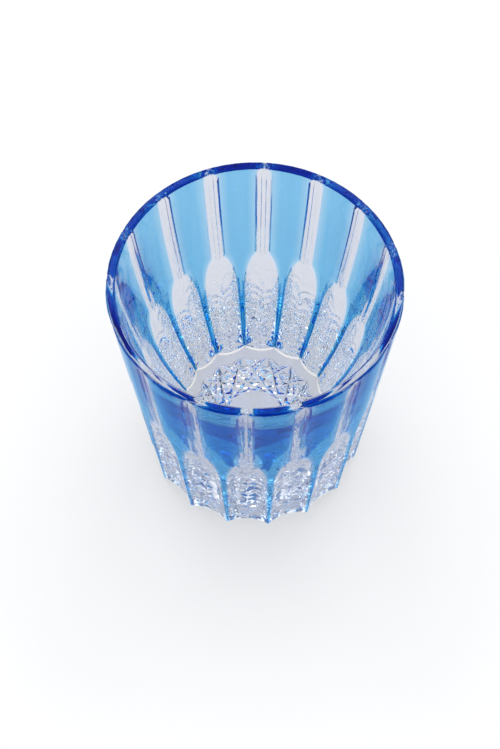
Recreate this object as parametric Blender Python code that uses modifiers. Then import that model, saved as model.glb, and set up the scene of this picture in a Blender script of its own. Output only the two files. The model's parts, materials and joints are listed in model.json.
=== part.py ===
"""Whisky glass: a clear crystal tumbler, cased in blue and cut through to the clear glass.

Sixteen upright grooves run down from the rim and widen into hollow flutes at the foot. They cut
the thin blue casing into sixteen separate panels, each ending in a narrow rib between two flutes.
A star is cut into the underside. Metres, +Z up, origin at the middle of the underside.
"""
import math

import bmesh
import bpy
from mathutils import Vector

# Body: an even lip bends in, until it leans more than the outer wall by the wedge, and runs on into
# a slightly hollow inner wall and a round bowl
HEIGHT = 0.0889
RIM_RADIUS = 0.0430
FOOT_RADIUS = 0.0325
RIM_WALL = 0.0028
LIP_DEPTH = 0.0060
LIP_BEND_RADIUS = 0.1100
WALL_WEDGE = math.radians(3.6)
WALL_HOLLOW_RADIUS = 0.2300
RIM_ROUND = 0.0008
INNER_ROUND_SHARE = 0.6
FOOT_BEVEL = 0.0006
FLOOR_THICKNESS = 0.0228

# Blue casing and the seam between it and the clear glass
CASING = 0.0006
FUSE_GAP = 0.0003

# Upright cuts: a bite is how far a cut goes into the clear glass below the casing
CUT_COUNT = 16
GROOVE_WIDTH = 0.0042
GROOVE_BITE = 0.0003
FLUTE_PROFILE_RADIUS = 0.0144
FLUTE_FOOT_BITE = 0.0012
FLUTE_TOP_BITE = 0.00125
FLUTE_STRAIGHT = 0.0345
WHEEL_RADIUS = 0.0800

# Star on the underside: wide chords and shorter fine ones, each spanning a share of the turn, with
# a land between two tips. The tips are turned a little from the ribs.
STAR_TIP_RADIUS = 0.0272
WIDE_SPAN_SHARE = 6 / 16
WIDE_TIP_GAP = 0.0006
WIDE_GROOVE_WIDTH = 0.0027
FINE_SPAN_SHARE = 5 / 16
FINE_TIP_GAP = 0.0016
FINE_GROOVE_WIDTH = 0.0016
STAR_GROOVE_SLOPE = 0.80
STAR_RUNOUT = 0.0060
STAR_TURN = math.radians(3.6)

# How far cutters stand out of the glass
OVERRUN = 0.0002
CLEAR_OF_GLASS = 0.0040

# Facets
FACETS_PER_CUT = 4
BOWL_STEPS = 10
WALL_STEPS = 4
BEND_STEPS = 2
ROUND_STEPS = 3
RUNOUT_STEPS = 8
FLUTE_BEVEL_RESOLUTION = 22
SHARP_ANGLE = math.radians(30)
MERGE = 0.000001
WELD = 0.00001

CLEAR_COLOUR = (0.93, 0.95, 0.97, 1.0)
BLUE_COLOUR = (0.02, 0.19, 0.62, 1.0)
GLASS_ROUGHNESS = 0.03
GLASS_IOR = 1.52

# Worked out from the sizes above
PITCH = 2 * math.pi / CUT_COUNT
WALL_LEAN = math.atan2(RIM_RADIUS - FOOT_RADIUS, HEIGHT)
SEAM_DEPTH = CASING + FUSE_GAP
GROOVE_DEPTH = SEAM_DEPTH + GROOVE_BITE
INNER_LEAN = WALL_LEAN + WALL_WEDGE
INNER_ROUND = min(RIM_ROUND, INNER_ROUND_SHARE * (RIM_WALL - SEAM_DEPTH))


def wall_radius(z, depth=0.0):
    """Radius at height z of the outer wall, or of a cone that lies depth below it."""
    return FOOT_RADIUS + z * math.tan(WALL_LEAN) - depth / math.cos(WALL_LEAN)


def arc(centre, radius, start, end, steps):
    """Points along an arc, both ends included."""
    angles = [start + (end - start) * i / steps for i in range(steps + 1)]
    return [(centre[0] + radius * math.cos(a), centre[1] + radius * math.sin(a)) for a in angles]


def bowl_radius(across, up):
    """Radius of the round bowl that touches the hollow wall, from the place of that wall's centre
    of curvature: across from the axis and up from the bowl's lowest point."""
    return (across ** 2 + up ** 2 - WALL_HOLLOW_RADIUS ** 2) / (2 * (up - WALL_HOLLOW_RADIUS))


def inner_profile():
    """Inside of the glass from the bowl's lowest point up to the flat of the rim."""
    lip_z = HEIGHT - LIP_DEPTH
    bend_centre = (
        wall_radius(lip_z) - RIM_WALL - LIP_BEND_RADIUS * math.cos(WALL_LEAN),
        lip_z + LIP_BEND_RADIUS * math.sin(WALL_LEAN),
    )
    bend = arc(bend_centre, LIP_BEND_RADIUS, -INNER_LEAN, -WALL_LEAN, BEND_STEPS)
    hollow_centre = (
        bend[0][0] - WALL_HOLLOW_RADIUS * math.cos(INNER_LEAN),
        bend[0][1] + WALL_HOLLOW_RADIUS * math.sin(INNER_LEAN),
    )
    up = hollow_centre[1] - FLOOR_THICKNESS
    radius = bowl_radius(hollow_centre[0], up)
    join = math.atan2(up - radius, -hollow_centre[0])
    bowl = arc((0.0, FLOOR_THICKNESS + radius), radius, -math.pi / 2, -join, BOWL_STEPS)
    bowl[0] = (0.0, FLOOR_THICKNESS)
    wall = arc(hollow_centre, WALL_HOLLOW_RADIUS, -join, -INNER_LEAN, WALL_STEPS)
    inset = INNER_ROUND * (1 / math.cos(WALL_LEAN) - math.tan(WALL_LEAN))
    rim_centre = (RIM_RADIUS - RIM_WALL + inset, HEIGHT - INNER_ROUND)
    rim = arc(rim_centre, INNER_ROUND, math.pi - WALL_LEAN, math.pi / 2, ROUND_STEPS)
    return bowl + wall[1:-1] + bend + rim


def clear_profile():
    """Clear body's half section, from the bowl's lowest point over the rim to the underside."""
    outside = [
        (wall_radius(HEIGHT, SEAM_DEPTH), HEIGHT),
        (wall_radius(FOOT_BEVEL, SEAM_DEPTH), FOOT_BEVEL),
        (wall_radius(0.0, SEAM_DEPTH) - FOOT_BEVEL, 0.0),
        (0.0, 0.0),
    ]
    return inner_profile() + outside


def casing_profile():
    """Casing's closed section, from its top edge down its outer side and back up its inner side."""
    inset = RIM_ROUND * (1 / math.cos(WALL_LEAN) + math.tan(WALL_LEAN))
    centre = (RIM_RADIUS - inset, HEIGHT - RIM_ROUND)
    covered = min(CASING, RIM_ROUND)
    top_angle = math.acos(1 - covered / RIM_ROUND) - WALL_LEAN
    section = arc(centre, RIM_ROUND, top_angle, -WALL_LEAN, ROUND_STEPS)
    top_z = section[0][1]
    section.append((wall_radius(FOOT_BEVEL), FOOT_BEVEL))
    section.append((wall_radius(FOOT_BEVEL, CASING), FOOT_BEVEL))
    if CASING > RIM_ROUND:
        section.append((wall_radius(top_z, CASING), top_z))
    return section


def clear_scene():
    for old in list(bpy.data.objects):
        bpy.data.objects.remove(old, do_unlink=True)


def new_collection(name):
    collection = bpy.data.collections.new(name)
    bpy.context.scene.collection.children.link(collection)
    return collection


def glass_material(name, colour):
    material = bpy.data.materials.new(name)
    material.use_nodes = True
    shader = material.node_tree.nodes["Principled BSDF"]
    shader.inputs["Base Color"].default_value = colour
    shader.inputs["Roughness"].default_value = GLASS_ROUGHNESS
    shader.inputs["Metallic"].default_value = 0.0
    shader.inputs["IOR"].default_value = GLASS_IOR
    shader.inputs["Transmission Weight"].default_value = 1.0
    material.diffuse_color = colour
    return material


def new_object(name, data, *collections):
    obj = bpy.data.objects.new(name, data)
    for collection in collections:
        collection.objects.link(obj)
    return obj


def mark_cutter(obj):
    obj.hide_render = True
    obj.display_type = "WIRE"


def evaluated_mesh(obj):
    """A plain mesh of the object as its modifiers or its bevel leave it, with close points welded."""
    bpy.context.view_layer.update()
    seen = obj.evaluated_get(bpy.context.evaluated_depsgraph_get())
    mesh = bpy.data.meshes.new_from_object(seen)
    work = bmesh.new()
    work.from_mesh(mesh)
    bmesh.ops.remove_doubles(work, verts=work.verts, dist=WELD)
    bmesh.ops.recalc_face_normals(work, faces=work.faces)
    work.to_mesh(mesh)
    work.free()
    return mesh


def tube_mesh(name, points, bevel_depth, bevel_resolution, swell=None):
    """Mesh of a capped tube along points; swell gives each point's share of the bevel depth."""
    curve = bpy.data.curves.new(name, "CURVE")
    curve.dimensions = "3D"
    curve.bevel_depth = bevel_depth
    curve.bevel_resolution = bevel_resolution
    curve.use_fill_caps = True
    spline = curve.splines.new("POLY")
    spline.points.add(len(points) - 1)
    for index, point in enumerate(points):
        spline.points[index].co = (*point, 1.0)
        spline.points[index].radius = swell[index] if swell else 1.0
    guide = new_object(name, curve, bpy.context.scene.collection)
    mesh = evaluated_mesh(guide)
    bpy.data.objects.remove(guide)
    bpy.data.curves.remove(curve)
    return mesh


def flute_path():
    """Line of the flute wheel's rim centre: straight up the wall, then a turn out of the glass."""
    foot = Vector((wall_radius(0.0, SEAM_DEPTH + FLUTE_FOOT_BITE), 0.0))
    top = Vector((wall_radius(FLUTE_STRAIGHT, SEAM_DEPTH + FLUTE_TOP_BITE), FLUTE_STRAIGHT))
    up = (top - foot).normalized()
    out = Vector((up.y, -up.x))
    swing = WHEEL_RADIUS - FLUTE_PROFILE_RADIUS
    turn = math.acos(1 - (SEAM_DEPTH + FLUTE_TOP_BITE + CLEAR_OF_GLASS) / WHEEL_RADIUS)
    path = [foot + FLUTE_PROFILE_RADIUS * out - CLEAR_OF_GLASS * up]
    for step in range(RUNOUT_STEPS + 1):
        angle = turn * step / RUNOUT_STEPS
        away = WHEEL_RADIUS - swing * math.cos(angle)
        along = swing * math.sin(angle)
        path.append(top + away * out + along * up)
    return [(point.x, 0.0, point.y) for point in path]


def add_groove_cutter(name, azimuth, *collections):
    """Four-sided prism whose inner edge runs along the bottom of an upright groove."""
    reach = GROOVE_DEPTH + OVERRUN
    half_width = GROOVE_WIDTH / 2 * reach / GROOVE_DEPTH
    length = (HEIGHT - FLUTE_STRAIGHT) / math.cos(WALL_LEAN) + CLEAR_OF_GLASS
    middle_z = FLUTE_STRAIGHT + length / 2 * math.cos(WALL_LEAN)
    bpy.ops.mesh.primitive_cylinder_add(vertices=4, radius=half_width, depth=length)
    cutter = bpy.context.object
    cutter.name = name
    for collection in list(cutter.users_collection):
        collection.objects.unlink(cutter)
    for collection in collections:
        collection.objects.link(cutter)
    radius = wall_radius(middle_z, -OVERRUN)
    cutter.location = (radius * math.cos(azimuth), radius * math.sin(azimuth), middle_z)
    cutter.rotation_euler = (0.0, WALL_LEAN, azimuth)
    cutter.scale = (reach / half_width, 1.0, 1.0)
    mark_cutter(cutter)


def star_mesh(name, span, width):
    """Pointed V cutter along one chord of the star, laid along Y and centred on its middle."""
    depth = width / 2 * STAR_GROOVE_SLOPE
    reach = depth + OVERRUN
    half_width = reach / STAR_GROOVE_SLOPE
    tip = STAR_TIP_RADIUS * math.sin(span / 2)
    end = tip + STAR_RUNOUT * OVERRUN / depth
    shoulder = tip - STAR_RUNOUT
    points = [(0.0, y, 0.0) for y in (-end, -shoulder, shoulder, end)]
    mesh = tube_mesh(name, points, half_width, 0, swell=(0.0, 1.0, 1.0, 0.0))
    for vertex in mesh.vertices:
        vertex.co.z *= STAR_GROOVE_SLOPE
    return mesh


def add_star_cutters(name, span_share, tip_gap, width, star_cuts):
    """One chord for each cut, between two tips that lie near the ribs."""
    pitches = round(span_share * CUT_COUNT)
    span = pitches * PITCH - tip_gap / STAR_TIP_RADIUS
    middle = STAR_TIP_RADIUS * math.cos(span / 2)
    mesh = star_mesh(name, span, width)
    first = (pitches + 1) % 2 * PITCH / 2 + STAR_TURN
    for index in range(CUT_COUNT):
        azimuth = first + index * PITCH
        chord = new_object(f"{name}_{index + 1:02d}", mesh, star_cuts)
        chord.location = (middle * math.cos(azimuth), middle * math.sin(azimuth), -OVERRUN)
        chord.rotation_euler.z = azimuth
        mark_cutter(chord)


def add_side_cutters(side_cuts, panel_cuts):
    """Flutes and grooves all round; the pair on each side of the first panel is listed twice."""
    flute = tube_mesh("flute", flute_path(), FLUTE_PROFILE_RADIUS, FLUTE_BEVEL_RESOLUTION)
    for index in range(CUT_COUNT):
        azimuth = index * PITCH
        homes = (side_cuts, panel_cuts) if index < 2 else (side_cuts,)
        cutter = new_object(f"flute_cutter_{index + 1:02d}", flute, *homes)
        cutter.rotation_euler.z = azimuth
        mark_cutter(cutter)
        add_groove_cutter(f"groove_cutter_{index + 1:02d}", azimuth, *homes)


def cut(obj, cutters):
    boolean = obj.modifiers.new(f"cut_{cutters.name}", "BOOLEAN")
    boolean.operation = "DIFFERENCE"
    boolean.solver = "EXACT"
    boolean.operand_type = "COLLECTION"
    boolean.collection = cutters


def weld(obj):
    """Joins the corners that meet within a hundredth of a millimetre where cuts cross."""
    modifier = obj.modifiers.new("weld", "WELD")
    modifier.merge_threshold = WELD


def shade(mesh):
    mesh.shade_smooth()
    mesh.set_sharp_from_angle(angle=SHARP_ANGLE)


def add_clear_body(parts, side_cuts, star_cuts, material):
    """Turned clear blank with the flutes, grooves and star cut out of it."""
    profile = clear_profile()
    mesh = bpy.data.meshes.new("clear_body")
    edges = [(i, i + 1) for i in range(len(profile) - 1)]
    mesh.from_pydata([(r, 0.0, z) for r, z in profile], edges, [])
    mesh.materials.append(material)
    body = new_object("clear_body", mesh, parts)
    screw = body.modifiers.new("turn", "SCREW")
    screw.steps = FACETS_PER_CUT * CUT_COUNT
    screw.render_steps = screw.steps
    screw.use_merge_vertices = True
    screw.merge_threshold = MERGE
    body.rotation_euler.z = PITCH / FACETS_PER_CUT / 2
    cut(body, side_cuts)
    cut(body, star_cuts)
    weld(body)


def casing_sector():
    """One pitch of the uncut casing: its section spun about the axis into a closed solid."""
    work = bmesh.new()
    verts = [work.verts.new((r, 0.0, z)) for r, z in casing_profile()]
    face = work.faces.new(verts)
    geom = [face, *face.edges, *face.verts]
    bmesh.ops.spin(work, geom=geom, axis=(0, 0, 1), angle=PITCH, steps=FACETS_PER_CUT)
    bmesh.ops.recalc_face_normals(work, faces=work.faces)
    mesh = bpy.data.meshes.new("casing_sector")
    work.to_mesh(mesh)
    work.free()
    return mesh


def add_panels(parts, panel_cuts, material):
    """The casing panel between the first two cuts, and its copies round the glass."""
    blank = new_object("casing_blank", casing_sector(), bpy.context.scene.collection)
    cut(blank, panel_cuts)
    mesh = evaluated_mesh(blank)
    mesh.name = "blue_panel"
    mesh.materials.append(material)
    shade(mesh)
    bpy.data.objects.remove(blank)
    for index in range(CUT_COUNT):
        panel = new_object(f"blue_panel_{index + 1:02d}", mesh, parts)
        panel.rotation_euler.z = index * PITCH


def main():
    clear_scene()
    parts = new_collection("whisky_glass")
    side_cuts = new_collection("side_cuts")
    panel_cuts = new_collection("panel_cuts")
    star_cuts = new_collection("star_cuts")
    clear = glass_material("clear_glass", CLEAR_COLOUR)
    blue = glass_material("blue_glass", BLUE_COLOUR)
    add_side_cutters(side_cuts, panel_cuts)
    add_star_cutters("wide_chord", WIDE_SPAN_SHARE, WIDE_TIP_GAP, WIDE_GROOVE_WIDTH, star_cuts)
    add_star_cutters("fine_chord", FINE_SPAN_SHARE, FINE_TIP_GAP, FINE_GROOVE_WIDTH, star_cuts)
    add_clear_body(parts, side_cuts, star_cuts, clear)
    add_panels(parts, panel_cuts, blue)


main()
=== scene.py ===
"""Looks of the whisky glass: clear crystal, blue casing panels, white floor, studio light, camera."""
import json
import math

import bmesh
import bpy
import numpy as np
from mathutils import Matrix, Vector

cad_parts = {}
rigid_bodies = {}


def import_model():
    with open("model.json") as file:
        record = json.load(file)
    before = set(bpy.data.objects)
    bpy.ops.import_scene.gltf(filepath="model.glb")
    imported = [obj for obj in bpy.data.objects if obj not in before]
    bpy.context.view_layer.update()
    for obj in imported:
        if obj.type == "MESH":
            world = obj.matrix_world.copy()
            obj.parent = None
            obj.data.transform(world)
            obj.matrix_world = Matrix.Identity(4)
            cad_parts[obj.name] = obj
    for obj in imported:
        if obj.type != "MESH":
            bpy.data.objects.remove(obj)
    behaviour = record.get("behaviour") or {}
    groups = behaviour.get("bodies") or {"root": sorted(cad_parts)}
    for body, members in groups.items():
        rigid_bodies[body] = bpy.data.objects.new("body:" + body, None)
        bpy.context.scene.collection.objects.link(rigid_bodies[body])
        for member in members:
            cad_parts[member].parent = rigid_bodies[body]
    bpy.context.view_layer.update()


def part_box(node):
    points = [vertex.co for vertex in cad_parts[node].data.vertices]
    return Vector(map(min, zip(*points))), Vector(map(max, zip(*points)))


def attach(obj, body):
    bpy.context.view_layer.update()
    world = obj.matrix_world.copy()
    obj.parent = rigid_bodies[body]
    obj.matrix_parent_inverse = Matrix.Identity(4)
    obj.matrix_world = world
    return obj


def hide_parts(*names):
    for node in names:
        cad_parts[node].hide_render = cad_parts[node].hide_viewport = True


# Blank: outer cone, even lip that bends into a slightly hollow inner wall, round bowl
RIM_RADIUS = 0.0430
FOOT_RADIUS = 0.0325
RIM_WALL = 0.0028
LIP_DEPTH = 0.0060
LIP_BEND = 0.1100
WALL_WEDGE = math.radians(3.6)
WALL_HOLLOW = 0.2300
RIM_ROUND = 0.0008
FOOT_BEVEL = 0.0006
FLOOR_THICKNESS = 0.0228

# Blue casing, and the hair's breadth that keeps its mesh off the clear body's
CASING = 0.0006
SEAM = 0.00001

# Upright cuts: a groove has a fine strip down its middle, a flat floor and soft shoulders, and its
# lifts let it run out at the rim; it ends below in a hollow flute
CUT_COUNT = 16
GROOVE_STRIP = 0.0012
GROOVE_STRIP_SIDE = 0.0016
GROOVE_STRIP_DEPTH = 0.00082
GROOVE_FLOOR = 0.0039
GROOVE_FLOOR_DEPTHS = (0.00070, 0.00064)
GROOVE_WIDTH = 0.0055
GROOVE_RUNOUT = 0.0030
GROOVE_LIFTS = (0.00050, 0.00050, 0.00070, 0.00022)
SHOULDER_DEPTH = 0.00022
SHOULDER_REACH = 0.0008
FLUTE_PROFILE_RADIUS = 0.0144
FLUTE_FOOT_DEPTH = 0.0021
FLUTE_TOP_DEPTH = 0.00215
FLUTE_STRAIGHT = 0.0345
WHEEL_RADIUS = 0.0800
CUT_SOFTNESS = 0.00012

# Ripples that the wheel leaves along the flutes: arcs, which wander a little up and down
RIPPLE_DEPTH = 0.00015
RIPPLE_LENGTH = 0.0046
RIPPLE_RISE = 0.0014
RIPPLE_ARC = 0.60
RIPPLE_DRIFT = 0.15
RIPPLE_WANDER = 0.25
RIPPLE_WANDER_LENGTH = 0.0110
RIPPLE_SEED = 7

# Star under the foot: three families of chords, each spanning a number of pitches
STAR_TIP_RADIUS = 0.0272
STAR_SPAN_PITCHES = (6, 5, 4)
STAR_TIP_GAPS = (0.0006, 0.0016, 0.0030)
STAR_GROOVE_WIDTHS = (0.0027, 0.0018, 0.0014)
STAR_GROOVE_SLOPE = 0.80
STAR_RUNOUT = 0.0060
STAR_TURN = math.radians(3.6)
STAR_OVERRUN = 0.0002

# Mesh density
CUT_COLUMNS = 12
SLOPE_COLUMNS = 2
PANEL_COLUMNS = 2
FLUTE_ROW = 0.0007
RUNOUT_ROW = 0.0007
GROOVE_ROW = 0.0030
RUNOUT_ENDS = (0.0300, 0.0560)
BEVEL_ROWS = 4
ROUND_ROWS = 14
BOWL_ROWS = 34
INNER_ROWS = 10
BEND_ROWS = 6
FLAT_ROWS = 3
CREST_SHARE = 0.97
EDGE_SHARES = (0.03, 0.75)
WELD = 0.000002
STAR_WELD = 0.00001
RIM_SAMPLES = 4001
CUT_PASSES = 8
CROSSING_PASSES = 40
CLEAR_INDEX, SEAM_INDEX, CUT_INDEX, GROUND_INDEX = range(4)
SHARP_ANGLE = math.radians(20)
PANEL_SHARP_ANGLE = math.radians(10)

# Glass: the blue has a density through its thickness, a coat that tints what it mirrors, and streaks
IOR = 1.52
CLEAR_TINT = (0.95, 0.95, 0.96, 1.0)
CUT_TINT = (0.52, 0.56, 0.68, 1.0)
GROUND_TINT = (0.97, 0.97, 0.98, 1.0)
GROUND_ROUGHNESS = 0.35
BLUE_DENSITY = 1180.0
BLUE_TINT = (0.016, 0.688, 0.922, 1.0)
BLUE_COAT = (0.63, 0.87, 0.975, 1.0)
COAT_IOR = 1.03
BLUE_STREAKS = ((0.64, 0.62, 0.79, 1.0), (0.75, 0.72, 0.87, 1.0))
STREAK_SCALE = Vector((260.0, 260.0, 30.0))
BLUE_SHEEN = (0.02, 0.20, 1.0, 1.0)
CLEAR_SHEEN = (0.15, 0.25, 0.90, 1.0)

# Camera, in a frame whose cuts are turned a little from the view
VIEW_TURN = math.radians(3.58)
VIEW_ELEVATION = math.radians(59.79)
VIEW_DISTANCE = 0.75079
VIEW_CENTRE = Vector((0.0, 0.0, 0.045))
VIEW_AIM = Vector((-0.00146, -0.00332, 0.0431))
LENS = 119.70

# Floor and light
FLOOR_SIZE = 30.0
FLOOR_COLOUR = (0.95, 0.95, 0.96, 1.0)
FLOOR_GLOW = 0.35
SKY_STRENGTH = 1.12
SKY_SHADES = ((0.20, 0.06), (0.62, 1.0))
LAMP_AZIMUTH = math.radians(33)
LAMP_ELEVATION = math.radians(45)
LAMP_DISTANCE = 4.0
LAMP_SIZE = 2.4
LAMP_POWER = 28.0

# Bounces of light that the glass needs
GLASS_BOUNCES = 48
GLOSSY_BOUNCES = 24
DIFFUSE_BOUNCES = 4
SEAM_BOUNCES = 64

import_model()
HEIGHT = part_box("clear_body")[1].z

# Worked out from the sizes above
PITCH = 2 * math.pi / CUT_COUNT
HALF = PITCH / 2
LEAN = math.atan2(RIM_RADIUS - FOOT_RADIUS, HEIGHT)
INNER_LEAN = LEAN + WALL_WEDGE
FLUTE_FOOT = FOOT_RADIUS - FLUTE_FOOT_DEPTH / math.cos(LEAN)
FLUTE_TOP = FOOT_RADIUS + FLUTE_STRAIGHT * math.tan(LEAN) - FLUTE_TOP_DEPTH / math.cos(LEAN)
FLUTE_LEAN = math.atan2(FLUTE_TOP - FLUTE_FOOT, FLUTE_STRAIGHT)
WHEEL_CENTRE = (
    FLUTE_TOP + WHEEL_RADIUS * math.cos(FLUTE_LEAN),
    FLUTE_STRAIGHT - WHEEL_RADIUS * math.sin(FLUTE_LEAN),
)
RIM_CENTRE = (
    RIM_RADIUS - RIM_ROUND * (1 / math.cos(LEAN) + math.tan(LEAN)),
    HEIGHT - RIM_ROUND,
)


def wall_radius(z, depth=0.0):
    """Radius of the uncut outer cone, or of a cone that lies depth below it."""
    return FOOT_RADIUS + z * math.tan(LEAN) - depth / math.cos(LEAN)


def envelope(z):
    """Radius of the uncut blank, with its rounded rim."""
    up = np.clip((z - RIM_CENTRE[1]) / RIM_ROUND, -math.sin(LEAN), 1.0)
    rounded = RIM_CENTRE[0] + RIM_ROUND * np.sqrt(1 - up ** 2)
    return np.where(up > -math.sin(LEAN), rounded, wall_radius(z))


def groove(s, z):
    """Distance from the axis of a groove's surface, s to the side of its middle."""
    s = np.abs(s)
    stops = np.array((GROOVE_STRIP, GROOVE_STRIP_SIDE, GROOVE_FLOOR, GROOVE_WIDTH)) / 2
    depths = (GROOVE_STRIP_DEPTH, *GROOVE_FLOOR_DEPTHS, SHOULDER_DEPTH)
    shoulder = SHOULDER_DEPTH * np.exp((GROOVE_WIDTH / 2 - s) / SHOULDER_REACH)
    depth = np.where(s < GROOVE_WIDTH / 2, np.interp(s, stops, depths), shoulder)
    near_rim = np.clip(1 - (HEIGHT - z) / GROOVE_RUNOUT, 0, 1) ** 2
    return wall_radius(z, np.maximum(depth - near_rim * np.interp(s, stops, GROOVE_LIFTS), 0.0))


def flute(s, z):
    """The same for a flute: straight up the wall, then curving out of it."""
    across = np.sqrt(np.maximum(FLUTE_PROFILE_RADIUS ** 2 - s ** 2, 0.0))
    lift = FLUTE_PROFILE_RADIUS - across
    straight = FLUTE_FOOT + z * math.tan(FLUTE_LEAN) + lift / math.cos(FLUTE_LEAN)
    along = (straight - FLUTE_TOP) * math.sin(FLUTE_LEAN)
    along = along + (z - FLUTE_STRAIGHT) * math.cos(FLUTE_LEAN)
    reach = (WHEEL_RADIUS - lift) ** 2 - (z - WHEEL_CENTRE[1]) ** 2
    curved = WHEEL_CENTRE[0] - np.sqrt(np.maximum(reach, 0.0))
    return np.where(along > 0, curved, straight)


def cut_radius(theta, z):
    """Radius of the cut surface, theta round from the middle of the cut."""
    radius = wall_radius(z)
    for _ in range(CUT_PASSES):
        s = radius * np.sin(theta)
        a = groove(s, z)
        b = flute(s, z)
        blend = np.maximum(CUT_SOFTNESS - np.abs(a - b), 0.0) ** 2 / (4 * CUT_SOFTNESS)
        radius = (np.minimum(a, b) - blend) / np.cos(theta)
    return radius


def outer_radius(theta, z):
    """Radius of the finished outside."""
    radius = np.minimum(cut_radius(theta, z), envelope(z))
    return radius - np.maximum(FOOT_BEVEL - z, 0.0)


def crossing(z, target):
    """Angle at which the cut surface rises to the target radius, at most half a pitch."""
    low = np.zeros_like(z)
    high = np.full_like(z, HALF)
    for _ in range(CROSSING_PASSES):
        middle = (low + high) / 2
        below = cut_radius(middle, z) - np.maximum(FOOT_BEVEL - z, 0.0) < target
        low = np.where(below, middle, low)
        high = np.where(below, high, middle)
    return (low + high) / 2


def spread(start, end, step):
    """Evenly spaced values from start up to, but without, end."""
    count = max(1, round((end - start) / step))
    return np.linspace(start, end, count, endpoint=False)


def panel_top():
    """Height at which the rounded rim meets the foot of the casing."""
    z = np.linspace(RIM_CENTRE[1], HEIGHT, RIM_SAMPLES)
    return float(z[np.argmax(envelope(z) < wall_radius(z, CASING))])


def outer_rows():
    """Heights of the rows of the outside, one of them at the top of the panels."""
    top = panel_top()
    start = RIM_CENTRE[1] - RIM_ROUND * math.sin(LEAN)
    straight = np.concatenate([
        spread(0.0, FOOT_BEVEL, FOOT_BEVEL / BEVEL_ROWS),
        spread(FOOT_BEVEL, RUNOUT_ENDS[0], FLUTE_ROW),
        spread(*RUNOUT_ENDS, RUNOUT_ROW),
        spread(RUNOUT_ENDS[1], start, GROOVE_ROW),
    ])
    top_angle = math.asin((top - RIM_CENTRE[1]) / RIM_ROUND)
    angles = np.concatenate([
        np.linspace(-LEAN, top_angle, ROUND_ROWS, endpoint=False),
        np.linspace(top_angle, math.pi / 2, ROUND_ROWS // 2 + 1),
    ])
    rounded = RIM_CENTRE[1] + RIM_ROUND * np.sin(angles)
    return np.concatenate([straight, rounded])


def column_angles(z):
    """Angles of the columns of each row over half a pitch, and the rows that have casing."""
    seam = crossing(z, wall_radius(z, CASING))
    cased = (seam < CREST_SHARE * HALF) & (z < panel_top() + WELD)
    seam = np.clip(seam, GROOVE_STRIP / 2 / RIM_RADIUS, CREST_SHARE * HALF)
    edge = crossing(z, wall_radius(z, SHOULDER_DEPTH))
    low, high = (seam + share * (HALF - seam) for share in EDGE_SHARES)
    edge = np.clip(edge, low, high)
    stops = [
        (np.zeros_like(z), seam, CUT_COLUMNS),
        (seam, edge, SLOPE_COLUMNS),
        (edge, np.full_like(z, HALF), PANEL_COLUMNS),
    ]
    columns = []
    for start, end, count in stops:
        columns += [start + (end - start) * i / count for i in range(count)]
    columns.append(np.full_like(z, HALF))
    return np.stack(columns, axis=1), cased


def whole_turn(half_angles):
    """Angles of one row after another all round the glass, from those of half a pitch."""
    pitch = np.concatenate([half_angles[:, :-1], PITCH - half_angles[:, :0:-1]], axis=1)
    return np.concatenate([pitch + k * PITCH for k in range(CUT_COUNT)], axis=1)


def round_points(angles, radius, z):
    """Points of a grid from angle, radius and height."""
    z = np.broadcast_to(z, angles.shape)
    return np.stack([radius * np.cos(angles), radius * np.sin(angles), z], axis=-1)


def inner_profile():
    """Radius and height of the inside, from just off the bowl's lowest point to the flat of the rim."""
    inset = RIM_ROUND * (1 / math.cos(LEAN) - math.tan(LEAN))
    turn = np.linspace(math.pi - LEAN, math.pi / 2, ROUND_ROWS)
    rim = np.stack([np.cos(turn), np.sin(turn) - 1], 1) * RIM_ROUND
    rim += (RIM_RADIUS - RIM_WALL + inset, HEIGHT)
    lip = (wall_radius(HEIGHT - LIP_DEPTH) - RIM_WALL, HEIGHT - LIP_DEPTH)
    lean = np.linspace(INNER_LEAN, LEAN, BEND_ROWS + 1)
    bend = np.stack([np.cos(lean) - math.cos(LEAN), math.sin(LEAN) - np.sin(lean)], 1)
    bend = bend * LIP_BEND + lip
    across = WALL_HOLLOW * math.cos(INNER_LEAN) - bend[0, 0]
    up = WALL_HOLLOW * math.sin(INNER_LEAN) + bend[0, 1] - FLOOR_THICKNESS
    radius = (across ** 2 + up ** 2 - WALL_HOLLOW ** 2) / (2 * (up - WALL_HOLLOW))
    join = math.atan2(up - radius, across)
    lean = np.linspace(join, INNER_LEAN, INNER_ROWS + 1)[1:-1]
    wall = np.stack([np.cos(lean), -np.sin(lean)], 1) * WALL_HOLLOW
    wall += (-across, up + FLOOR_THICKNESS)
    swing = np.linspace(-math.pi / 2, -join, BOWL_ROWS + 1)[1:]
    bowl = np.stack([np.cos(swing), np.sin(swing) + 1], 1) * radius + (0, FLOOR_THICKNESS)
    return np.concatenate([bowl, wall, bend, rim])


def ring_faces(rows, columns):
    """Quads of a grid whose rows of points each run once round the axis."""
    i = np.arange(rows - 1)[:, None] * columns
    j = np.arange(columns)[None, :]
    k = (j + 1) % columns
    return np.stack([i + j, i + columns + j, i + columns + k, i + k], -1).reshape(-1, 4)


def new_mesh(name, points, faces):
    mesh = bpy.data.meshes.new(name)
    mesh.from_pydata(points.reshape(-1, 3).tolist(), [], faces.tolist())
    return mesh


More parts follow.
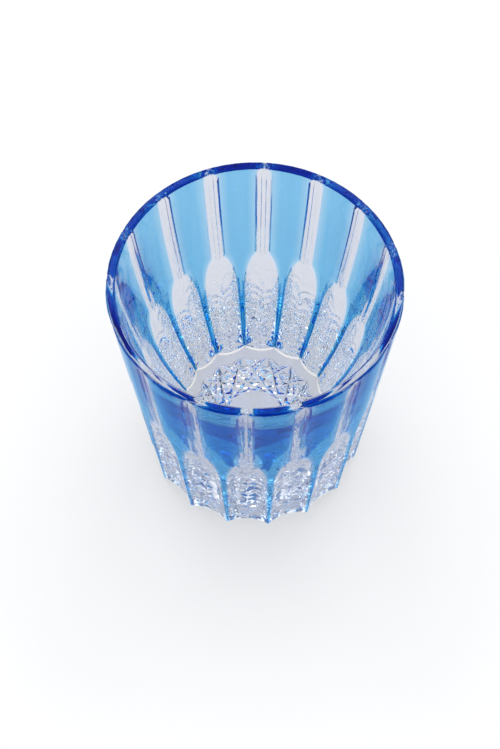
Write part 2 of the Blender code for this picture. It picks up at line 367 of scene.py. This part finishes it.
def star_cutter(pitches, tip_gap, width):
    """Pointed V cutter along one chord of the star, laid along Y, and its distance from the axis."""
    depth = width / 2 * STAR_GROOVE_SLOPE
    reach = depth + STAR_OVERRUN
    half_width = reach / STAR_GROOVE_SLOPE
    span = pitches * PITCH - tip_gap / STAR_TIP_RADIUS
    tip = STAR_TIP_RADIUS * math.sin(span / 2)
    end = tip + STAR_RUNOUT * STAR_OVERRUN / depth
    work = bmesh.new()
    for y in (-end, end):
        work.verts.new((0.0, y, 0.0))
    for y in (STAR_RUNOUT - tip, tip - STAR_RUNOUT):
        for x, z in ((half_width, 0), (-half_width, 0), (0, reach), (0, -reach)):
            work.verts.new((x, y, z))
    bmesh.ops.convex_hull(work, input=work.verts)
    mesh = bpy.data.meshes.new("star_cutter")
    work.to_mesh(mesh)
    work.free()
    return mesh, STAR_TIP_RADIUS * math.cos(span / 2)


def star_plate(ring):
    """Underside within the ring of points, with the star cut into it."""
    cutters = bpy.data.collections.new("star_cutters")
    for pitches, tip_gap, width in zip(STAR_SPAN_PITCHES, STAR_TIP_GAPS, STAR_GROOVE_WIDTHS):
        mesh, hub = star_cutter(pitches, tip_gap, width)
        for index in range(CUT_COUNT):
            # the middle of an even span is in line with a tip, that of an odd one between two
            azimuth = (index + (pitches + 1) % 2 / 2) * PITCH + STAR_TURN
            cutter = bpy.data.objects.new(f"star_cutter_{pitches}_{index + 1:02d}", mesh)
            place = Vector((hub * math.cos(azimuth), hub * math.sin(azimuth), -STAR_OVERRUN))
            cutter.matrix_world = Matrix.Translation(place) @ Matrix.Rotation(azimuth, 4, "Z")
            cutters.objects.link(cutter)
    bpy.context.scene.collection.children.link(cutters)
    work = bmesh.new()
    face = work.faces.new([work.verts.new(p) for p in ring.tolist()])
    raised = bmesh.ops.extrude_face_region(work, geom=[face])["geom"]
    for vert in raised:
        if isinstance(vert, bmesh.types.BMVert):
            vert.co.z += FLOOR_THICKNESS / 2
    bmesh.ops.recalc_face_normals(work, faces=work.faces)
    blank_mesh = bpy.data.meshes.new("star_blank")
    work.to_mesh(blank_mesh)
    work.free()
    blank = bpy.data.objects.new("star_blank", blank_mesh)
    bpy.context.scene.collection.objects.link(blank)
    boolean = blank.modifiers.new("star", "BOOLEAN")
    boolean.operand_type = "COLLECTION"
    boolean.collection = cutters
    bpy.context.view_layer.update()
    seen = blank.evaluated_get(bpy.context.evaluated_depsgraph_get())
    plate = bmesh.new()
    plate.from_mesh(bpy.data.meshes.new_from_object(seen))
    bmesh.ops.remove_doubles(plate, verts=plate.verts, dist=STAR_WELD)
    top = [f for f in plate.faces if max(v.co.z for v in f.verts) > FLOOR_THICKNESS / 4]
    bmesh.ops.delete(plate, geom=top, context="FACES")
    for made in [blank, *cutters.objects]:
        bpy.data.objects.remove(made)
    bpy.data.collections.remove(cutters)
    mesh = bpy.data.meshes.new("star_plate")
    plate.to_mesh(mesh)
    plate.free()
    return mesh


def add_piece(name, mesh, node, slot, *materials):
    """Object for a mesh, standing for a node of the frame."""
    for material in materials:
        mesh.materials.append(material)
    piece = bpy.data.objects.new(name, mesh)
    bpy.context.scene.collection.objects.link(piece)
    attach(piece, "root")
    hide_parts(node)
    return piece


def ripples(z, half_columns):
    """Depth of the ripples: arcs stacked in two columns up each flute, fading out at its edges."""
    rng = np.random.default_rng(RIPPLE_SEED)
    share = np.arange(half_columns) / CUT_COLUMNS
    side = np.concatenate([share[:-1], -share[:0:-1]])
    arcs = RIPPLE_ARC * (2 * np.abs(side) - 1) ** 2
    fade = np.clip(1 - side ** 4, 0, 1)
    rise = np.clip((z - FOOT_BEVEL) / RIPPLE_RISE, 0, 1)
    fall = np.clip((RUNOUT_ENDS[1] - z) / (RUNOUT_ENDS[1] - FLUTE_STRAIGHT), 0, 1)
    flutes = []
    for _ in range(CUT_COUNT):
        phase, drift, bend, start = rng.uniform(-1, 1, 4)
        wander = RIPPLE_WANDER * np.sin(2 * math.pi * (z / RIPPLE_WANDER_LENGTH + start))
        along = z / RIPPLE_LENGTH + phase + wander
        turn = along[:, None] + RIPPLE_DRIFT * drift * side + (1 + bend / 2) * arcs
        wave = RIPPLE_DEPTH * np.sin(2 * math.pi * turn)
        flutes.append(wave * fade * (rise * fall)[:, None])
    return np.concatenate(flutes, axis=1)


def body_grid():
    """Points of the clear body, from the bowl over the rim to the foot, and its faces' materials."""
    z = outer_rows()
    half_angles, cased = column_angles(z)
    angles = whole_turn(half_angles)
    half_radius = outer_radius(half_angles, z[:, None])
    limit = np.where(cased, wall_radius(z, CASING) - SEAM, np.inf)
    half_radius[:, CUT_COLUMNS:] = np.minimum(half_radius[:, CUT_COLUMNS:], limit[:, None])
    pitch_radius = np.concatenate([half_radius[:, :-1], half_radius[:, :0:-1]], axis=1)
    radius = np.tile(pitch_radius, (1, CUT_COUNT)) - ripples(z, half_angles.shape[1])
    outside = round_points(angles, radius, z[:, None])[::-1]
    columns = angles.shape[1]
    profile = inner_profile()
    even = np.arange(columns) * 2 * math.pi / columns
    share = np.clip((profile[:, 1:] - FLOOR_THICKNESS) / (HEIGHT - FLOOR_THICKNESS), 0, 1)
    inside_angles = even + (angles[-1] - even) * share
    inside = round_points(inside_angles, profile[:, :1], profile[:, 1:])
    across = np.linspace(0, 1, FLAT_ROWS + 1)[1:-1, None, None]
    flat = inside[-1:] + (outside[:1] - inside[-1:]) * across
    points = np.concatenate([inside, flat, outside])
    per_pitch = 2 * half_angles.shape[1] - 2
    place = np.arange(columns) % per_pitch
    behind = (place >= CUT_COLUMNS) & (place < per_pitch - CUT_COLUMNS)
    polished = len(inside) + len(flat)
    cased = np.concatenate([np.zeros(polished, bool), cased[::-1]])
    hidden = (cased[:-1] & cased[1:])[:, None] & behind[None, :]
    indices = np.where(hidden, SEAM_INDEX, CLEAR_INDEX)
    indices[polished:][~hidden[polished:]] = CUT_INDEX
    indices[-BEVEL_ROWS:] = GROUND_INDEX
    return points, indices


def add_clear_body(*materials):
    """Clear glass: inside, rim and cut outside as one turned grid, with the star plate below."""
    points, indices = body_grid()
    rows, columns = points.shape[:2]
    mesh = new_mesh("clear_crystal_body", points, ring_faces(rows, columns))
    mesh.polygons.foreach_set("material_index", indices.reshape(-1).astype(np.int32))
    work = bmesh.new()
    work.from_mesh(mesh)
    pole = work.verts.new((0.0, 0.0, FLOOR_THICKNESS))
    work.verts.ensure_lookup_table()
    for j in range(columns):
        work.faces.new((pole, work.verts[j], work.verts[(j + 1) % columns]))
    plate = star_plate(points[-1])
    plate.polygons.foreach_set("material_index", [CUT_INDEX] * len(plate.polygons))
    work.from_mesh(plate)
    bmesh.ops.remove_doubles(work, verts=work.verts, dist=WELD)
    work.to_mesh(mesh)
    work.free()
    finish_shading(mesh, SHARP_ANGLE)
    return add_piece("clear_crystal_body", mesh, "clear_body", "clear_glass", *materials)


def finish_shading(mesh, angle):
    """Smooth shading, with edges sharp at creases and where two materials meet."""
    mesh.shade_smooth()
    mesh.set_sharp_from_angle(angle=angle)
    work = bmesh.new()
    work.from_mesh(mesh)
    for edge in work.edges:
        if len({face.material_index for face in edge.link_faces}) > 1:
            edge.smooth = False
    work.to_mesh(mesh)
    work.free()


def panel_grids():
    """Outer and inner points of the panel between the first two cuts, and its share of casing left."""
    z = outer_rows()
    half_angles, cased = column_angles(z)
    z = z[cased]
    half_angles = half_angles[cased][:, CUT_COLUMNS:]
    outer = np.maximum(outer_radius(half_angles, z[:, None]), wall_radius(z, CASING)[:, None])
    outer[:, 0] = wall_radius(z, CASING)
    outer[-1] = wall_radius(z[-1], CASING)
    angles = np.concatenate([half_angles, PITCH - half_angles[:, -2::-1]], axis=1)
    outer = np.concatenate([outer, outer[:, -2::-1]], axis=1)
    inner = np.broadcast_to(wall_radius(z, CASING)[:, None], outer.shape)
    cover = np.clip((outer - inner) / (wall_radius(z)[:, None] - inner), 0, 1)
    return round_points(angles, outer, z[:, None]), round_points(angles, inner, z[:, None]), cover


def panel_mesh(name, outer, inner, cover, turn):
    """Closed mesh of one panel, with the value fused on its hidden faces and cover on its points."""
    rows, columns = outer.shape[:2]
    i = np.arange(rows - 1)[:, None] * columns
    j = np.arange(columns - 1)[None, :]
    quads = np.stack([i + j, i + j + 1, i + columns + j + 1, i + columns + j], -1).reshape(-1, 4)
    faces = np.concatenate([quads, quads[:, ::-1] + rows * columns])
    row = np.arange(columns - 1)
    low = np.stack([row + 1, row, row + rows * columns, row + 1 + rows * columns], -1)
    points = np.concatenate([outer.reshape(-1, 3), inner.reshape(-1, 3)])
    cos, sin = math.cos(turn), math.sin(turn)
    points = points @ np.array([[cos, sin, 0], [-sin, cos, 0], [0, 0, 1]])
    mesh = new_mesh(name, points, np.concatenate([faces, low]))
    fused = np.zeros(len(mesh.polygons), dtype=np.float32)
    fused[len(quads):2 * len(quads)] = 1.0
    mesh.attributes.new("fused", "FLOAT", "FACE").data.foreach_set("value", fused)
    cover = np.tile(cover.reshape(-1), 2).astype(np.float32)
    mesh.attributes.new("cover", "FLOAT", "POINT").data.foreach_set("value", cover)
    work = bmesh.new()
    work.from_mesh(mesh)
    bmesh.ops.remove_doubles(work, verts=work.verts, dist=WELD)
    work.to_mesh(mesh)
    work.free()
    finish_shading(mesh, PANEL_SHARP_ANGLE)
    return mesh


def add_panels(blue):
    outer, inner, cover = panel_grids()
    for index in range(CUT_COUNT):
        name = f"blue_casing_panel_{index + 1:02d}"
        mesh = panel_mesh(name, outer, inner, cover, index * PITCH)
        add_piece(name, mesh, f"blue_panel_{index + 1:02d}", "blue_glass", blue)


def new_material(name):
    """Material, with its nodes, its links and its shader."""
    material = bpy.data.materials.new(name)
    material.use_nodes = True
    nodes = material.node_tree.nodes
    return material, nodes, material.node_tree.links, nodes["Principled BSDF"]


def set_glass(shader, tint, sheen, roughness=0.0):
    shader.inputs["Base Color"].default_value = tint
    shader.inputs["Roughness"].default_value = roughness
    shader.inputs["IOR"].default_value = IOR
    shader.inputs["Transmission Weight"].default_value = 1.0
    shader.inputs["Specular Tint"].default_value = sheen


def clear_glass(name, tint, roughness=0.0):
    """Clear glass of one tint: the smooth inside, the greyer cuts or the ground bevel of the foot."""
    material, _, _, shader = new_material(name)
    set_glass(shader, tint, CLEAR_SHEEN, roughness)
    return material


def seam_glass():
    """Joint between clear and blue glass: one melt, so nothing shows there."""
    material, nodes, links, shader = new_material("fused_seam")
    through = nodes.new("ShaderNodeBsdfTransparent")
    links.new(through.outputs["BSDF"], nodes["Material Output"].inputs["Surface"])
    nodes.remove(shader)
    return material


def blue_glass():
    """Blue glass that absorbs by its thickness and, under its coat, tints what it mirrors.

    The coat thins out with the casing, and the side fused to the clear glass shows nothing of its own.
    """
    material, nodes, links, shader = new_material("blue_glass")
    set_glass(shader, BLUE_STREAKS[0], BLUE_SHEEN)
    shader.inputs["Coat Roughness"].default_value = 0.0
    shader.inputs["Coat IOR"].default_value = COAT_IOR
    shader.inputs["Coat Tint"].default_value = BLUE_COAT
    cover = nodes.new("ShaderNodeAttribute")
    cover.attribute_name = "cover"
    links.new(cover.outputs["Fac"], shader.inputs["Coat Weight"])
    place = nodes.new("ShaderNodeTexCoord")
    stretch = nodes.new("ShaderNodeMapping")
    stretch.inputs["Scale"].default_value = STREAK_SCALE
    streak = nodes.new("ShaderNodeTexNoise")
    streak.inputs["Scale"].default_value = 1.0
    tint = nodes.new("ShaderNodeMix")
    tint.data_type = "RGBA"
    tint.inputs["A"].default_value, tint.inputs["B"].default_value = BLUE_STREAKS
    links.new(place.outputs["Object"], stretch.inputs["Vector"])
    links.new(stretch.outputs["Vector"], streak.inputs["Vector"])
    links.new(streak.outputs["Fac"], tint.inputs["Factor"])
    links.new(tint.outputs["Result"], shader.inputs["Base Color"])
    through = nodes.new("ShaderNodeBsdfTransparent")
    fused = nodes.new("ShaderNodeAttribute")
    fused.attribute_name = "fused"
    mix = nodes.new("ShaderNodeMixShader")
    links.new(fused.outputs["Fac"], mix.inputs["Fac"])
    links.new(shader.outputs["BSDF"], mix.inputs[1])
    links.new(through.outputs["BSDF"], mix.inputs[2])
    absorb = nodes.new("ShaderNodeVolumeAbsorption")
    absorb.inputs["Color"].default_value = BLUE_TINT
    absorb.inputs["Density"].default_value = BLUE_DENSITY
    output = nodes["Material Output"]
    links.new(mix.outputs["Shader"], output.inputs["Surface"])
    links.new(absorb.outputs["Volume"], output.inputs["Volume"])
    return material


def floor_white():
    """White floor with a share of glow where it is seen, so that it comes out white."""
    material, nodes, links, shader = new_material("white_floor")
    shader.inputs["Base Color"].default_value = FLOOR_COLOUR
    shader.inputs["Roughness"].default_value = 1.0
    shader.inputs["Specular IOR Level"].default_value = 0.0
    glow = nodes.new("ShaderNodeEmission")
    path = nodes.new("ShaderNodeLightPath")
    seen = nodes.new("ShaderNodeMath")
    through = nodes.new("ShaderNodeMath")
    share = nodes.new("ShaderNodeMath")
    share.operation = "MULTIPLY"
    share.use_clamp = True
    share.inputs[1].default_value = FLOOR_GLOW
    mix = nodes.new("ShaderNodeMixShader")
    links.new(path.outputs["Is Camera Ray"], seen.inputs[0])
    links.new(path.outputs["Is Glossy Ray"], seen.inputs[1])
    links.new(seen.outputs["Value"], through.inputs[0])
    links.new(path.outputs["Is Transmission Ray"], through.inputs[1])
    links.new(through.outputs["Value"], share.inputs[0])
    links.new(share.outputs["Value"], mix.inputs["Fac"])
    links.new(shader.outputs["BSDF"], mix.inputs[1])
    links.new(glow.outputs["Emission"], mix.inputs[2])
    links.new(mix.outputs["Shader"], nodes["Material Output"].inputs["Surface"])
    return material


def add_floor(material):
    work = bmesh.new()
    bmesh.ops.create_grid(work, x_segments=1, y_segments=1, size=FLOOR_SIZE / 2)
    mesh = bpy.data.meshes.new("floor")
    work.to_mesh(mesh)
    work.free()
    mesh.materials.append(material)
    floor = bpy.data.objects.new("floor", mesh)
    bpy.context.scene.collection.objects.link(floor)
    floor.location.z = -SEAM


def add_sky():
    """Sky that is dark at the horizon and bright above."""
    world = bpy.data.worlds.new("studio")
    world.use_nodes = True
    nodes = world.node_tree.nodes
    links = world.node_tree.links
    place = nodes.new("ShaderNodeTexCoord")
    split = nodes.new("ShaderNodeSeparateXYZ")
    shade = nodes.new("ShaderNodeValToRGB")
    for stop, (height, grey) in zip(shade.color_ramp.elements, SKY_SHADES):
        stop.position = height
        stop.color = (grey, grey, grey, 1.0)
    links.new(place.outputs["Generated"], split.inputs["Vector"])
    links.new(split.outputs["Z"], shade.inputs["Fac"])
    links.new(shade.outputs["Color"], nodes["Background"].inputs["Color"])
    nodes["Background"].inputs["Strength"].default_value = SKY_STRENGTH
    bpy.context.scene.world = world


def add_softboxes():
    for name, side in (("softbox_left", 1), ("softbox_right", -1)):
        lamp = bpy.data.lights.new(name, "AREA")
        lamp.size = LAMP_SIZE
        lamp.energy = LAMP_POWER
        azimuth = math.pi / 2 + side * LAMP_AZIMUTH + VIEW_TURN
        flat = LAMP_DISTANCE * math.cos(LAMP_ELEVATION)
        height = LAMP_DISTANCE * math.sin(LAMP_ELEVATION)
        place = Vector((flat * math.cos(azimuth), flat * math.sin(azimuth), height))
        softbox = bpy.data.objects.new(name, lamp)
        softbox.location = place
        softbox.rotation_euler = (-place).to_track_quat("-Z", "Y").to_euler()
        bpy.context.scene.collection.objects.link(softbox)


def add_camera():
    turn = Matrix.Rotation(VIEW_TURN, 3, "Z")
    back = Vector((0.0, -math.cos(VIEW_ELEVATION), math.sin(VIEW_ELEVATION)))
    place = turn @ (VIEW_CENTRE + back * VIEW_DISTANCE)
    aim = turn @ VIEW_AIM
    data = bpy.data.cameras.new("camera")
    data.lens = LENS
    camera = bpy.data.objects.new("camera", data)
    camera.location = place
    camera.rotation_euler = (aim - place).to_track_quat("-Z", "Y").to_euler()
    bpy.context.scene.collection.objects.link(camera)
    bpy.context.scene.camera = camera


def set_render():
    scene = bpy.context.scene
    scene.view_settings.view_transform = "Standard"
    scene.cycles.max_bounces = GLASS_BOUNCES
    scene.cycles.transmission_bounces = GLASS_BOUNCES
    scene.cycles.glossy_bounces = GLOSSY_BOUNCES
    scene.cycles.diffuse_bounces = DIFFUSE_BOUNCES
    scene.cycles.transparent_max_bounces = SEAM_BOUNCES


add_camera()
add_sky()
add_softboxes()
add_floor(floor_white())
add_clear_body(
    clear_glass("clear_glass", CLEAR_TINT),
    seam_glass(),
    clear_glass("cut_glass", CUT_TINT),
    clear_glass("ground_glass", GROUND_TINT, GROUND_ROUGHNESS),
)
add_panels(blue_glass())
set_render()
